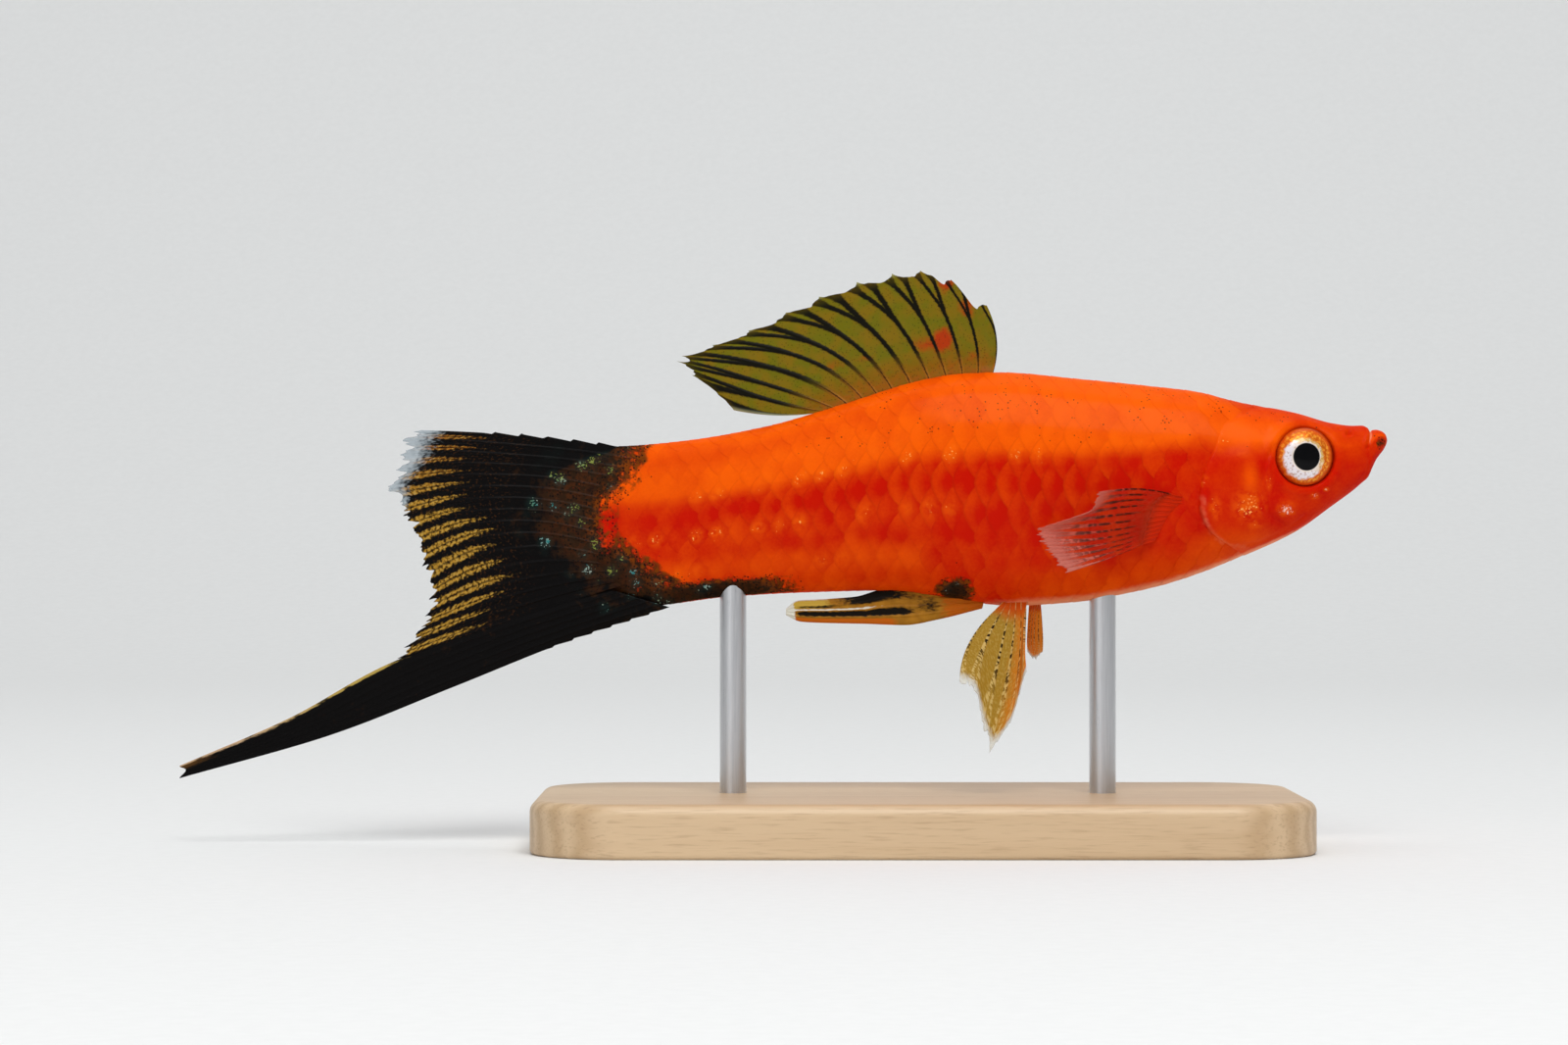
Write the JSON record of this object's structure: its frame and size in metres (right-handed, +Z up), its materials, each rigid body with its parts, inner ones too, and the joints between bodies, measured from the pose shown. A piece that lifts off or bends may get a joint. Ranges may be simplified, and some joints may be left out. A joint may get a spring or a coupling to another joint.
{
  "type": "swordtail fish display model",
  "caption": "Life-size still model of a male red swordtail with black tail fin and sword, held over a flat wooden base by short steel rods.",
  "frame": {"origin": "centre of the bounding box at its lowest level, on the underside of the base", "axes": "+X towards the snout along the fish, +Y to the fish's left, +Z up"},
  "size_m": [0.0914, 0.03, 0.0435],
  "materials": {
    "skin": "moist orange-red scales",
    "eye": "clear glossy cornea over a silver and orange iris",
    "dorsal": "thin olive-yellow membrane with dark rays",
    "black_fin": "black membrane and rays with golden streaks",
    "pectoral": "clear pinkish membrane with dark rays",
    "pelvic": "yellow-orange membrane with darker rays",
    "wood": "satin varnished maple",
    "steel": "brushed along the rod"
  },
  "bodies": {
    "root": {"head": "skin", "trunk": "skin", "tail_peduncle": "skin", "eye_right": "eye", "eye_left": "eye", "dorsal_fin": "dorsal", "caudal_fin": "black_fin", "caudal_sword": "black_fin", "pectoral_fin_right": "pectoral", "pectoral_fin_left": "pectoral", "pelvic_fin_right": "pelvic", "pelvic_fin_left": "pelvic", "gonopodium": "pelvic", "stand_base": "wood", "stand_rod_front": "steel", "stand_rod_rear": "steel"}
  },
  "joints": []
}
